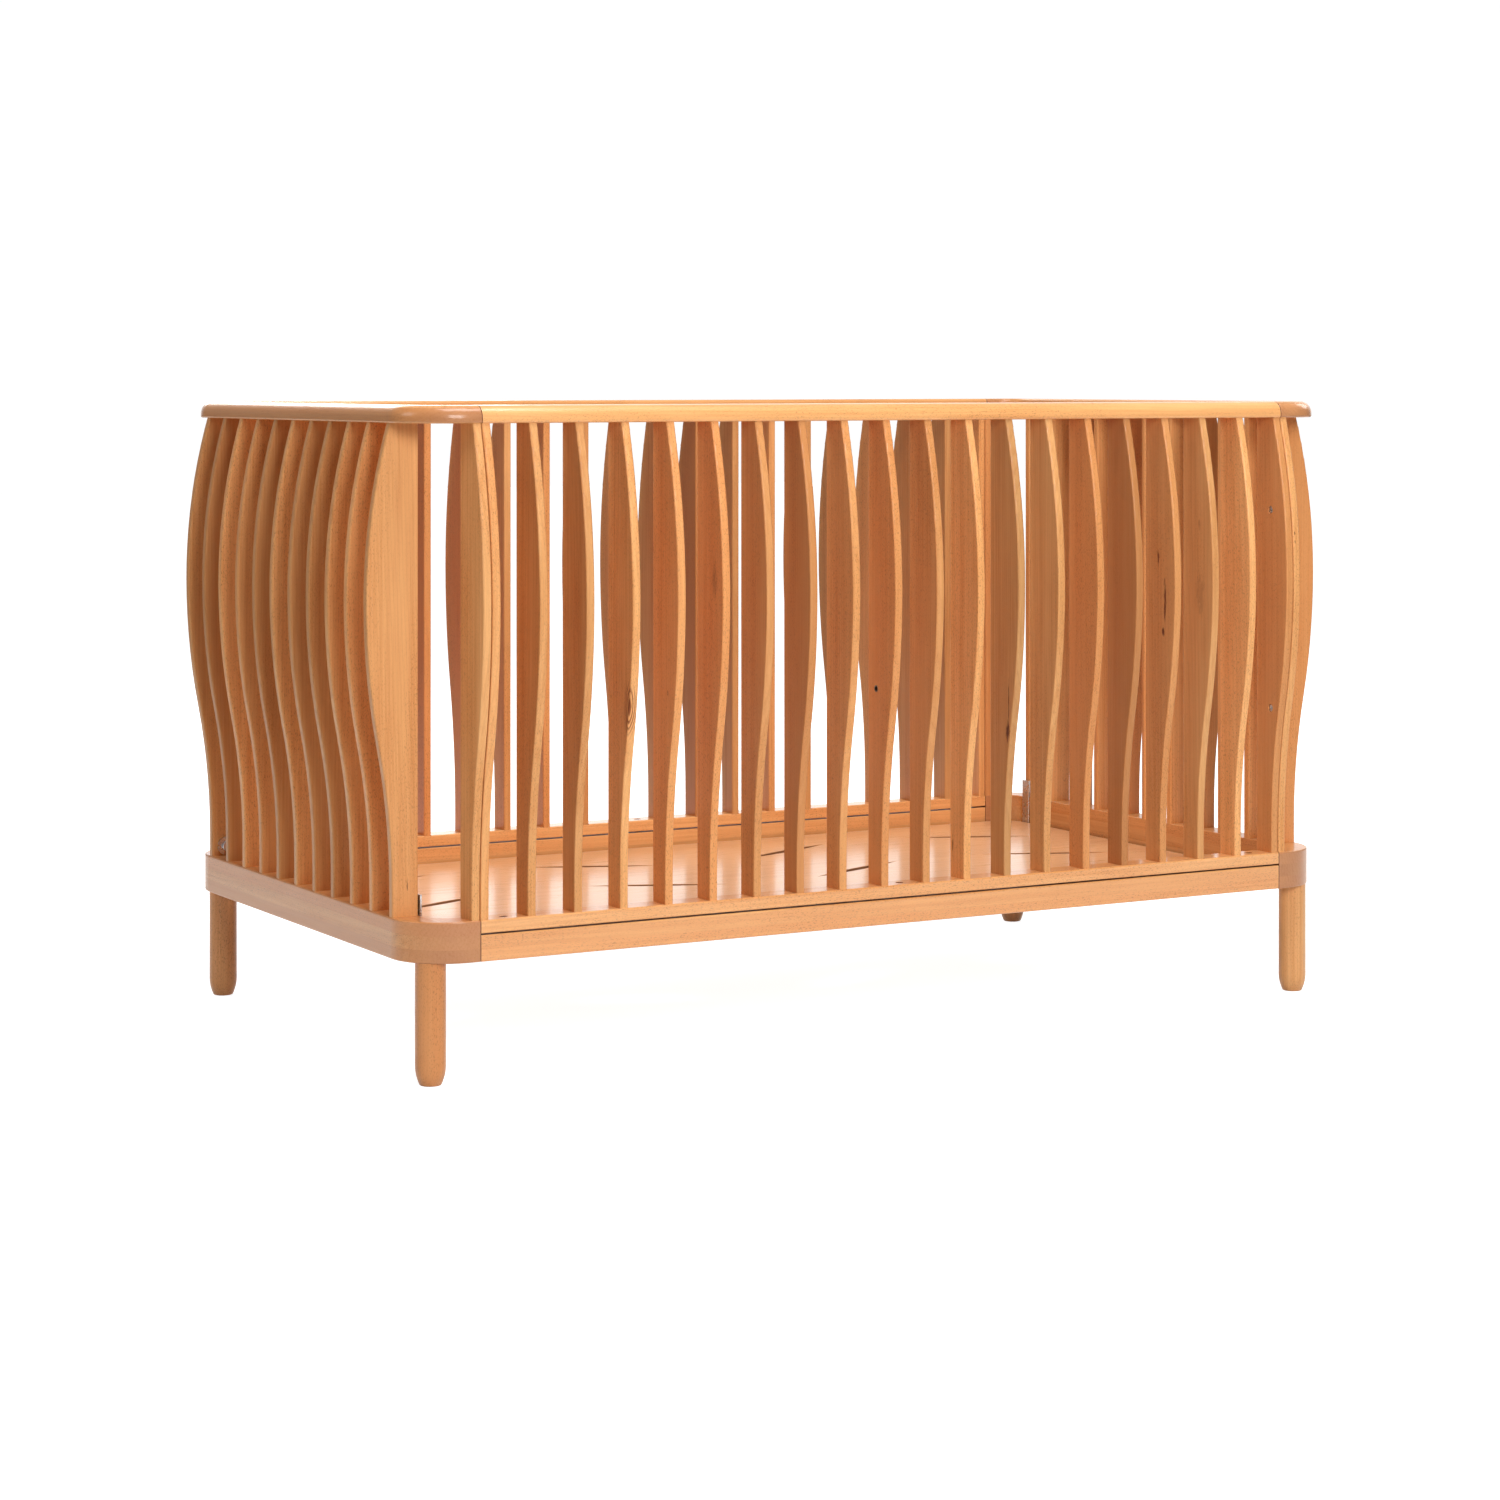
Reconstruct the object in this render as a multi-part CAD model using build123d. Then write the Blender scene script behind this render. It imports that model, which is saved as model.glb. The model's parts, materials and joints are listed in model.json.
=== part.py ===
from build123d import *
import os
from math import cos, radians, sin, sqrt

# A free-standing baby crib in beech. Flat slats stand square to every side; their inner edges are
# straight and their outer edges bulge in an S, so the whole crib swells at mid height.
#
# Frame: millimetres, origin on the floor under the middle of the crib, +X along its length,
# +Y to the back, +Z up. The model is symmetric about X and about Y.

# ---- Base frame: two U-shaped end pieces, with two long rails between them ----
BASE_HALF_LENGTH = 690.0
BASE_HALF_WIDTH = 385.0
BASE_BOTTOM = 149.0
BASE_TOP = 199.0
BASE_RAIL_WIDTH = 36.0
CORNER_RADIUS = 72.0
JOINT_X = 604.2             # where the end pieces meet the long rails, in the base and at the top
PANEL_RAIL_HEIGHT = 16.0    # the side panel's own bottom rail, which ends level with the base
PANEL_GAP = 1.5             # shadow gap between the panel's bottom rail and the long base rail
BASE_ROUND = 2.0
JOINT_ROUND = 1.0

# ---- Top rail ----
TOP_OVERHANG = 4.5          # how far the top rail stands out past the base
TOP_BOTTOM = 798.0
TOP_HEIGHT = 820.0
TOP_RAIL_WIDTH = 45.0
TOP_OUTER_ROUND = 16.0
TOP_INNER_ROUND = 5.0
TOP_UNDER_ROUND = 3.0

# ---- Slats ----
SLAT_THICKNESS = 11.0
SLAT_WIDTH = 34.0           # at the root
SLAT_INSET = 1.5            # root's outer edge, back from the base's outer face
SLAT_BULGE = 34.0           # how far the outer edge swells past its root
SLAT_ROUND = 2.0
SWELL_START = 230.0         # height where the outer edge leaves the vertical
SWELL_TURN = 405.0          # height where the S turns over
SWELL_PEAK = 580.0          # height of the widest point
SWELL_TOP_RADIUS = 800.0
HOUSING = 8.0               # how deep a slat's ends sit in the rails
HOUSING_CLEARANCE = 0.1
SIDE_SLATS = 20
END_SLATS = 11
END_PITCH = 61.5
SIDE_END_GAP = 0.5          # from an outer panel slat's face to the joint plane

# ---- Legs ----
LEG_RADIUS = 18.75
LEG_ARC = 52.0              # leg centre's distance from the centre of the base's corner arc
FOOT_RADIUS = 13.0
FOOT_HEIGHT = 24.0
FOOT_ROUND = 2.0
STUD_RADIUS = 4.0
STUD_IN_LEG = 40.0
STUD_IN_BASE = 28.0
LEG_INSERT_RADIUS = 6.5

# ---- Mattress base ----
BOARD_TOP = 160.0
BOARD_THICKNESS = 12.0
BOARD_CLEARANCE = 5.0
LEAF_LENGTH = 196.0
LEAF_WIDTH = 16.0
LEAF_TILT = 23.5
LEAF_COLUMNS = 4
LEAF_ROWS = 3
LEAF_PITCH_X = 320.0
LEAF_PITCH_Y = 205.0
BATTEN_LENGTH = 1240.0
BATTEN_WIDTH = 40.0
BATTEN_HEIGHT = 16.0
BATTEN_Y = 102.5

# ---- Steel hangers that carry the mattress base on the outermost end slats ----
STEEL = 2.0                 # sheet thickness
BEND_RADIUS = 1.5           # outside radius of the bend between web and cheek
HANGER_GAP = 0.3            # running clearance beside the slat
HANGER_FACE_GAP = 0.8       # clearance in front of the end rail's inner face
HANGER_WIDTH = 16.0
HANGER_TOP = 224.5
CHEEK_RADIUS = 12.5
CHEEK_REACH = 30.0
CHEEK_SLOT = 6.8
HANGER_FOOT = 34.0
UPPER_STEP = 240.0          # rise from the lower to the upper fixing height

# ---- Fasteners ----
FIT = 0.05                  # radial clearance of hidden pins, bolts and inserts
BOLT_RADIUS = 3.0           # M6 shanks
HEAD_RADIUS = 6.5
HEAD_HEIGHT = 3.5
HEAD_ROUND = 0.8
SOCKET_AF = 4.0
SOCKET_DEPTH = 0.6          # as a part of the head's height
INSERT_RADIUS = 4.5
INSERT_LENGTH = 8.0
HANGER_BOLT_COVER = 3.0     # wood left between the bolt's tip and the slat's far face
END_BOLT_HEAD_RADIUS = 5.0
END_BOLT_HEAD_HEIGHT = 3.0
END_BOLT_HEAD_FIT = 0.3
END_BOLT_SUNK = 1.8         # head's face, in from the slat's face
END_BOLT_COVER = 2.0        # wood left between the bolt's tip and the corner slat's far face
END_BOLT_HEIGHTS = (398.0, 671.0)
END_BOLT_FROM_INNER = 31.0  # bolt centre, out from the slats' inner line
MIDDLE_INSERT_FROM_INNER = 20.4
DOWN_BOLT_HEAD_RADIUS = 5.0
DOWN_BOLT_HEAD_HEIGHT = 5.0
DOWN_BOLT_HEAD_FIT = 0.4
DOWN_BOLT_RECESS = 7.0
DOWN_BOLT_COVER = 10.0      # wood left under the bolt's tip
DOWN_BOLT_X = (-566.0, 0.0, 566.0)
DOWN_INSERT_LENGTH = 20.0
DOWEL_SPREAD = 9.0          # each dowel's distance from the rail's middle line
BASE_DOWEL_RADIUS = 4.0
BASE_DOWEL_HALF = 25.0      # half its length
BASE_DOWEL_Z = 165.0
TOP_DOWEL_RADIUS = 3.0
TOP_DOWEL_HALF = 20.0
TOP_DOWEL_Z = 812.5         # above the slats' housings
SCREW_RADIUS = 2.0
SCREW_HEAD_RADIUS = 4.0
SCREW_HEAD_HEIGHT = 2.0
FOOT_SCREWS_FROM_WEB = (11.0, 25.0)
FOOT_SCREW_DEPTH = 9.0      # how deep it goes into the board
BATTEN_SCREW_X = (150.0, 560.0)
BATTEN_SCREW_DEPTH = 7.0    # how deep it goes into the board

# ---- Modelling ----
PAST = 1.0                  # how far a cutting shape runs past the face it opens
FAR = 1000.0                # past the whole crib
SAME = 0.01                 # lengths closer than this count as equal

# ---- Worked-out sizes ----
TOP_HALF_LENGTH = BASE_HALF_LENGTH + TOP_OVERHANG
TOP_HALF_WIDTH = BASE_HALF_WIDTH + TOP_OVERHANG
END_INNER = BASE_HALF_LENGTH - SLAT_INSET - SLAT_WIDTH      # inner line of the end slats
SIDE_INNER = BASE_HALF_WIDTH - SLAT_INSET - SLAT_WIDTH      # inner line of the side slats
RAIL_Y = BASE_HALF_WIDTH - BASE_RAIL_WIDTH / 2
LONG_RAIL_TOP = BASE_TOP - PANEL_RAIL_HEIGHT - PANEL_GAP
SIDE_LAST_X = JOINT_X - SIDE_END_GAP - SLAT_THICKNESS / 2
SIDE_PITCH = 2 * SIDE_LAST_X / (SIDE_SLATS - 1)
CORNER_X = JOINT_X + SIDE_END_GAP + SLAT_THICKNESS / 2
END_LAST_Y = END_PITCH * (END_SLATS - 1) / 2
LEG_X = BASE_HALF_LENGTH - CORNER_RADIUS + LEG_ARC * cos(radians(45))
LEG_Y = BASE_HALF_WIDTH - CORNER_RADIUS + LEG_ARC * sin(radians(45))
BOARD_BOTTOM = BOARD_TOP - BOARD_THICKNESS
BOARD_HALF_LENGTH = BASE_HALF_LENGTH - BASE_RAIL_WIDTH - BOARD_CLEARANCE
BOARD_HALF_WIDTH = BASE_HALF_WIDTH - BASE_RAIL_WIDTH - BOARD_CLEARANCE
WEB_OUTER = BASE_HALF_LENGTH - BASE_RAIL_WIDTH - HANGER_FACE_GAP
CHEEK_INNER = END_LAST_Y - SLAT_THICKNESS / 2 - HANGER_GAP - STEEL
HANGER_BOLT_X = WEB_OUTER - STEEL + CHEEK_REACH - CHEEK_RADIUS
HANGER_BOLT_Z = HANGER_TOP - CHEEK_RADIUS
UPPER_Z = HANGER_BOLT_Z + UPPER_STEP
HANGER_FOOT_Z = BOARD_BOTTOM - STEEL
BATTEN_BOTTOM = BOARD_BOTTOM - BATTEN_HEIGHT
RECESS_FLOOR = BASE_TOP - DOWN_BOLT_RECESS
MIDDLE_SLAT = SIDE_SLATS // 2 - 1       # the panel slat left of the middle, with a spare insert
MIDDLE_INSERT_X = -SIDE_LAST_X + MIDDLE_SLAT * SIDE_PITCH - SLAT_THICKNESS / 2

CORNERS = [(x, y) for x in (-1, 1) for y in (-1, 1)]
END_NAMES = {-1: "left", 1: "right"}
SIDE_NAMES = {-1: "front", 1: "back"}

parts = {}


def rod(radius, start, end):
    """A round bar from one point to another."""
    start, end = Vector(*start), Vector(*end)
    return Plane(origin=start, z_dir=end - start) * Cylinder(
        radius, (end - start).length, align=(Align.CENTER, Align.CENTER, Align.MIN)
    )


def block(low, high):
    """A box given by its lowest and highest corners."""
    size = [b - a for a, b in zip(low, high)]
    return Pos(*low) * Box(*size, align=(Align.MIN, Align.MIN, Align.MIN))


def mirrored(shape, side_x, side_y):
    """A copy of a shape modelled in the +X +Y corner, in the corner with the given signs."""
    if side_x < 0:
        shape = mirror(shape, Plane.YZ)
    if side_y < 0:
        shape = mirror(shape, Plane.XZ)
    return shape


def in_every_corner(shape):
    return [mirrored(shape, x, y) for x, y in CORNERS]


# ---- Slats: one shape, placed along every side ----

def swell_width(height):
    """A slat's width at a height above the widest point."""
    rise = height - SWELL_PEAK
    return SLAT_WIDTH + SLAT_BULGE - (SWELL_TOP_RADIUS - sqrt(SWELL_TOP_RADIUS**2 - rise**2))


def make_slat():
    """The slat stands on the XZ plane with its inner edge on Z, and bulges towards +X."""
    bottom, top = BASE_TOP - HOUSING, TOP_BOTTOM + HOUSING
    lean = SLAT_BULGE / (SWELL_PEAK - SWELL_START)
    root = (SLAT_WIDTH, SWELL_START)
    turn = (SLAT_WIDTH + (SWELL_TURN - SWELL_START) * lean, SWELL_TURN)
    peak = (SLAT_WIDTH + SLAT_BULGE, SWELL_PEAK)
    shoulder = (swell_width(top), top)
    outline = Polyline(shoulder, (0, top), (0, bottom), (SLAT_WIDTH, bottom), root)
    outline += TangentArc(root, turn, tangent=(0, 1))
    outline += TangentArc(peak, turn, tangent=(0, -1))
    outline += TangentArc(peak, shoulder, tangent=(0, 1))
    slat = extrude(Plane.XZ * make_face(outline), amount=SLAT_THICKNESS / 2, both=True)
    long_edges = [
        e for e in slat.edges()
        if e.bounding_box().size.Z > HOUSING and e.bounding_box().size.Y < SAME
    ]
    return fillet(long_edges, SLAT_ROUND)


SLAT = make_slat()


def slat_places(side, axis):
    """Places of one side's slats; their outward direction is side along axis."""
    if axis == "x":
        turn = 0 if side > 0 else 180
        ys = [(k - (END_SLATS - 1) / 2) * END_PITCH for k in range(END_SLATS)]
        return [Pos(side * END_INNER, y, 0) * Rot(0, 0, turn) for y in ys]
    xs = [-SIDE_LAST_X + k * SIDE_PITCH for k in range(SIDE_SLATS)]
    return [Pos(x, side * SIDE_INNER, 0) * Rot(0, 0, side * 90) for x in xs]


def corner_place(side_x, side_y):
    return Pos(side_x * CORNER_X, side_y * SIDE_INNER, 0) * Rot(0, 0, side_y * 90)


def housings(place, extra=0.0):
    """The pockets in the rails for one slat's two ends, widened by extra along the rail."""
    gap = HOUSING_CLEARANCE
    half = SLAT_THICKNESS / 2 + gap + extra
    low = block((-gap, -half, BASE_TOP - HOUSING - gap), (SLAT_WIDTH + gap, half, BASE_TOP + PAST))
    top_width = swell_width(TOP_BOTTOM) + gap
    high = block((-gap, -half, TOP_BOTTOM - PAST), (top_width, half, TOP_BOTTOM + HOUSING + gap))
    return [place * low, place * high]


def joint_housings(side_x, side_y):
    """The pockets of the two slats that stand either side of a rail joint; both open onto it."""
    middle = Pos(side_x * JOINT_X, side_y * SIDE_INNER, 0) * Rot(0, 0, side_y * 90)
    return housings(middle, SIDE_END_GAP + SLAT_THICKNESS / 2)


# ---- Hidden pins and threaded pieces, modelled in the +X +Y corner ----

def socket_bolt(head_radius, head_height, start, end):
    """A bolt with its head's outer face at start, a hexagonal socket and its tip at end."""
    start, end = Vector(*start), Vector(*end)
    seat = Plane(origin=start, z_dir=end - start)
    up = (Align.CENTER, Align.CENTER, Align.MIN)
    head = Cylinder(head_radius, head_height, align=up)
    head = fillet(head.edges().group_by(Axis.Z)[0], HEAD_ROUND)
    shank = Cylinder(BOLT_RADIUS, (end - start).length, align=up)
    hexagon = RegularPolygon(SOCKET_AF / 2, 6, major_radius=False)
    socket = extrude(hexagon, amount=SOCKET_DEPTH * head_height)
    return seat * (head + shank - socket)


def sleeve(outer, inner, start, end):
    return rod(outer, start, end) - rod(inner, start, end)


def dowel_lines(half, height):
    """The two dowels of one rail joint, each as its start and end."""
    return [
        ((JOINT_X - half, RAIL_Y + offset, height), (JOINT_X + half, RAIL_Y + offset, height))
        for offset in (-DOWEL_SPREAD, DOWEL_SPREAD)
    ]


leg_stud_line = ((LEG_X, LEG_Y, BASE_BOTTOM - STUD_IN_LEG), (LEG_X, LEG_Y, BASE_BOTTOM + STUD_IN_BASE))
leg_insert_line = ((LEG_X, LEG_Y, BASE_BOTTOM), (LEG_X, LEG_Y, BASE_BOTTOM + STUD_IN_BASE))
base_dowel_lines = dowel_lines(BASE_DOWEL_HALF, BASE_DOWEL_Z)
top_dowel_lines = dowel_lines(TOP_DOWEL_HALF, TOP_DOWEL_Z)


def end_bolt_line(height):
    """Where a panel's end bolt runs: from the outer panel slat's face to inside the corner slat."""
    y = SIDE_INNER + END_BOLT_FROM_INNER
    tip_x = CORNER_X + SLAT_THICKNESS / 2 - END_BOLT_COVER
    return (SIDE_LAST_X - SLAT_THICKNESS / 2, y, height), (tip_x, y, height)


def corner_insert_line(height):
    """The end bolt's insert: from the corner slat's inner face to the bolt's tip."""
    tip = end_bolt_line(height)[1]
    return (CORNER_X - SLAT_THICKNESS / 2, tip[1], height), tip


def hanger_bolt_line(height):
    """Where a hanger's bolt runs: from before the cheek to inside the outermost end slat."""
    head_y = CHEEK_INNER - HANGER_GAP - HEAD_HEIGHT
    tip_y = END_LAST_Y + SLAT_THICKNESS / 2 - HANGER_BOLT_COVER
    return (HANGER_BOLT_X, head_y, height), (HANGER_BOLT_X, tip_y, height)


def hanger_insert_line(height):
    mouth = END_LAST_Y - SLAT_THICKNESS / 2
    return (HANGER_BOLT_X, mouth, height), (HANGER_BOLT_X, mouth + INSERT_LENGTH, height)


def middle_insert_line(side_y):
    """The spare insert in a side's middle slat."""
    y = side_y * (SIDE_INNER + MIDDLE_INSERT_FROM_INNER)
    return (MIDDLE_INSERT_X, y, UPPER_Z), (MIDDLE_INSERT_X + INSERT_LENGTH, y, UPPER_Z)


# ---- Wooden frame ----

def ring(half_length, half_width, width, bottom, top):
    """A closed rail with rounded corners."""
    height = top - bottom
    inner_radius = CORNER_RADIUS - width
    outer = RectangleRounded(2 * half_length, 2 * half_width, CORNER_RADIUS)
    inner = RectangleRounded(2 * (half_length - width), 2 * (half_width - width), inner_radius)
    return Pos(0, 0, bottom) * extrude(outer - inner, amount=height)


def round_ring(shape, outer_top, inner_top, outer_bottom, inner_bottom):
    """Rounds a closed rail's four edges, each by its own radius."""
    top_face = shape.faces().sort_by(Axis.Z)[-1]
    shape = fillet(top_face.outer_wire().edges(), outer_top)
    top_face = shape.faces().sort_by(Axis.Z)[-1]
    shape = fillet(top_face.inner_wires()[0].edges(), inner_top)
    bottom_face = shape.faces().sort_by(Axis.Z)[0]
    shape = fillet(bottom_face.outer_wire().edges(), outer_bottom)
    bottom_face = shape.faces().sort_by(Axis.Z)[0]
    return fillet(bottom_face.inner_wires()[0].edges(), inner_bottom)


def ease_joint(shape):
    """Rounds the edges of the flat end faces at the rail joints, so each joint shows a fine V."""
    cut_faces = [
        f for f in shape.faces()
        if abs(abs(f.center().X) - JOINT_X) < SAME and f.bounding_box().size.X < SAME
    ]
    return fillet([e for f in cut_faces for e in f.outer_wire().edges()], JOINT_ROUND)


def beyond_joint(side_x):
    """All the space past one end's joint plane."""
    return mirrored(block((JOINT_X, -FAR, 0), (FAR, FAR, FAR)), side_x, 1)


base_ring = round_ring(
    ring(BASE_HALF_LENGTH, BASE_HALF_WIDTH, BASE_RAIL_WIDTH, BASE_BOTTOM, BASE_TOP),
    BASE_ROUND, JOINT_ROUND, BASE_ROUND, JOINT_ROUND,
)
top_ring = round_ring(
    ring(TOP_HALF_LENGTH, TOP_HALF_WIDTH, TOP_RAIL_WIDTH, TOP_BOTTOM, TOP_HEIGHT),
    TOP_OUTER_ROUND, TOP_INNER_ROUND, TOP_UNDER_ROUND, TOP_UNDER_ROUND,
)

joint_cuts = [rod(BASE_DOWEL_RADIUS + FIT, *line) for line in base_dowel_lines]
joint_cuts += [rod(TOP_DOWEL_RADIUS + FIT, *line) for line in top_dowel_lines]
leg_insert_cut = rod(LEG_INSERT_RADIUS + FIT, *leg_insert_line)

for side_x, end_name in END_NAMES.items():
    pockets = [p for place in slat_places(side_x, "x") for p in housings(place)]
    for side_y in SIDE_NAMES:
        pockets += joint_housings(side_x, side_y)
        pockets += [mirrored(cut, side_x, side_y) for cut in [leg_insert_cut] + joint_cuts]
    parts[f"base_end_{end_name}"] = ease_joint(base_ring & beyond_joint(side_x)) - pockets
    parts[f"top_end_{end_name}"] = ease_joint(top_ring & beyond_joint(side_x)) - pockets


def side_rail(side_y, bottom, top, round_radius):
    """A straight rail between the end pieces, on the front or the back."""
    half = BASE_RAIL_WIDTH / 2
    middle = side_y * RAIL_Y
    rail = block((-JOINT_X, middle - half, bottom), (JOINT_X, middle + half, top))
    rail = fillet(rail.edges().filter_by(Axis.X), round_radius)
    return ease_joint(rail)


def down_bolt_line(x, y):
    """Where a bolt runs from the side panel's bottom rail down into the base rail."""
    return (x, y, RECESS_FLOOR + DOWN_BOLT_HEAD_HEIGHT), (x, y, BASE_BOTTOM + DOWN_BOLT_COVER)


def down_insert_line(x, y):
    return (x, y, LONG_RAIL_TOP - DOWN_INSERT_LENGTH), (x, y, LONG_RAIL_TOP)


def down_bolt_cuts(x, y):
    """The recess, the bolt's hole and the insert's hole; each opens past the face above it."""
    tip = down_bolt_line(x, y)[1]
    insert_floor = down_insert_line(x, y)[0]
    return [
        rod(DOWN_BOLT_HEAD_RADIUS + DOWN_BOLT_HEAD_FIT, (x, y, RECESS_FLOOR), (x, y, BASE_TOP + PAST)),
        rod(BOLT_RADIUS + FIT, tip, (x, y, BASE_TOP)),
        rod(INSERT_RADIUS + FIT, insert_floor, (x, y, LONG_RAIL_TOP + PANEL_GAP / 2)),
    ]


for side_y, side_name in SIDE_NAMES.items():
    pockets = [p for place in slat_places(side_y, "y")[1:-1] for p in housings(place)]
    for side_x in END_NAMES:
        pockets += joint_housings(side_x, side_y)
        pockets += [mirrored(cut, side_x, side_y) for cut in joint_cuts]
    for x in DOWN_BOLT_X:
        pockets += down_bolt_cuts(x, side_y * RAIL_Y)
    straight = mirrored(block((-JOINT_X, 0, 0), (JOINT_X, FAR, FAR)), 1, side_y)
    base_rail = side_rail(side_y, BASE_BOTTOM, LONG_RAIL_TOP, BASE_ROUND)
    bottom_rail = side_rail(side_y, BASE_TOP - PANEL_RAIL_HEIGHT, BASE_TOP, BASE_ROUND)
    top_rail = ease_joint(top_ring & straight)
    parts[f"base_rail_{side_name}"] = base_rail - pockets
    parts[f"panel_bottom_rail_{side_name}"] = bottom_rail - pockets
    parts[f"panel_top_rail_{side_name}"] = top_rail - pockets

# ---- Slats: the front ones singly, the other rows as one group each ----

end_bolt_cuts = []
for height in END_BOLT_HEIGHTS:
    (face_x, bolt_y, _), _ = end_bolt_line(height)
    head_floor = (face_x + END_BOLT_SUNK + END_BOLT_HEAD_HEIGHT, bolt_y, height)
    end_bolt_cuts += [
        rod(END_BOLT_HEAD_RADIUS + END_BOLT_HEAD_FIT, (face_x - PAST, bolt_y, height), head_floor),
        rod(BOLT_RADIUS + FIT, (face_x, bolt_y, height), (JOINT_X, bolt_y, height)),
    ]
corner_insert_cuts = [rod(INSERT_RADIUS + FIT, *corner_insert_line(height)) for height in END_BOLT_HEIGHTS]


def side_slats(side_y):
    slats = [place * SLAT for place in slat_places(side_y, "y")]
    slats[0] -= [mirrored(cut, -1, side_y) for cut in end_bolt_cuts]
    slats[-1] -= [mirrored(cut, 1, side_y) for cut in end_bolt_cuts]
    slats[MIDDLE_SLAT] -= rod(INSERT_RADIUS + FIT, *middle_insert_line(side_y))
    return slats


def end_slats(side_x):
    slats = [place * SLAT for place in slat_places(side_x, "x")]
    for index, side_y in ((0, -1), (-1, 1)):
        for height in (HANGER_BOLT_Z, UPPER_Z):
            hole = rod(INSERT_RADIUS + FIT, *hanger_insert_line(height))
            slats[index] -= mirrored(hole, side_x, side_y)
    return slats


for number, slat in enumerate(side_slats(-1), start=1):
    parts[f"front_slat_{number:02d}"] = slat
parts["back_slats"] = side_slats(1)
for side_x, end_name in END_NAMES.items():
    parts[f"{end_name}_end_slats"] = end_slats(side_x)
    for side_y, side_name in SIDE_NAMES.items():
        slat = corner_place(side_x, side_y) * SLAT
        slat -= [mirrored(cut, side_x, side_y) for cut in corner_insert_cuts]
        parts[f"corner_slat_{side_name}_{end_name}"] = slat


# ---- Legs ----

def make_leg():
    """A round leg whose foot curves in on an arc that leaves the leg's side smoothly."""
    taper = LEG_RADIUS - FOOT_RADIUS
    foot_radius = (taper**2 + FOOT_HEIGHT**2) / (2 * taper)
    outline = Polyline(
        (LEG_RADIUS, FOOT_HEIGHT), (LEG_RADIUS, BASE_BOTTOM), (0, BASE_BOTTOM), (0, 0), (FOOT_RADIUS, 0)
    )
    outline += RadiusArc((FOOT_RADIUS, 0), (LEG_RADIUS, FOOT_HEIGHT), -foot_radius)
    leg = revolve(Plane.XZ * make_face(outline), Axis.Z)
    leg = fillet(leg.edges().group_by(Axis.Z)[0], FOOT_ROUND)
    return Pos(LEG_X, LEG_Y, 0) * leg - rod(STUD_RADIUS + FIT, *leg_stud_line)


leg = make_leg()
for side_x, side_y in CORNERS:
    parts[f"leg_{SIDE_NAMES[side_y]}_{END_NAMES[side_x]}"] = mirrored(leg, side_x, side_y)


# ---- Mattress base: board with leaf-shaped air slots, two battens, four hangers ----

def leaf():
    """A slot with two pointed ends, made of two equal arcs."""
    half, sag = LEAF_LENGTH / 2, LEAF_WIDTH / 2
    upper = ThreePointArc((-half, 0), (0, sag), (half, 0))
    lower = ThreePointArc((-half, 0), (0, -sag), (half, 0))
    return make_face(upper + lower)


def make_board():
    corner = CORNER_RADIUS - BASE_RAIL_WIDTH
    face = RectangleRounded(2 * BOARD_HALF_LENGTH, 2 * BOARD_HALF_WIDTH, corner)
    for column in range(LEAF_COLUMNS):
        x = (column - (LEAF_COLUMNS - 1) / 2) * LEAF_PITCH_X
        tilt = LEAF_TILT if column % 2 == 0 else -LEAF_TILT
        for row in range(LEAF_ROWS):
            y = (row - (LEAF_ROWS - 1) / 2) * LEAF_PITCH_Y
            face -= Pos(x, y) * Rot(0, 0, tilt) * leaf()
    return Pos(0, 0, BOARD_BOTTOM) * extrude(face, amount=BOARD_THICKNESS)


def wood_screw(x, y, head_z, tip_z):
    """A screw driven upwards, its head below head_z."""
    shank = rod(SCREW_RADIUS, (x, y, head_z), (x, y, tip_z))
    return shank + rod(SCREW_HEAD_RADIUS, (x, y, head_z - SCREW_HEAD_HEIGHT), (x, y, head_z))


foot_screw_y = CHEEK_INNER + HANGER_WIDTH / 2
foot_screw_places = [(WEB_OUTER - STEEL - away, foot_screw_y) for away in FOOT_SCREWS_FROM_WEB]
batten_screw_places = [(x, BATTEN_Y) for x in BATTEN_SCREW_X]
foot_screw_tip = BOARD_BOTTOM + FOOT_SCREW_DEPTH
batten_screw_tip = BOARD_BOTTOM + BATTEN_SCREW_DEPTH
batten_screw_seat = BATTEN_BOTTOM + SCREW_HEAD_HEIGHT


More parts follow.
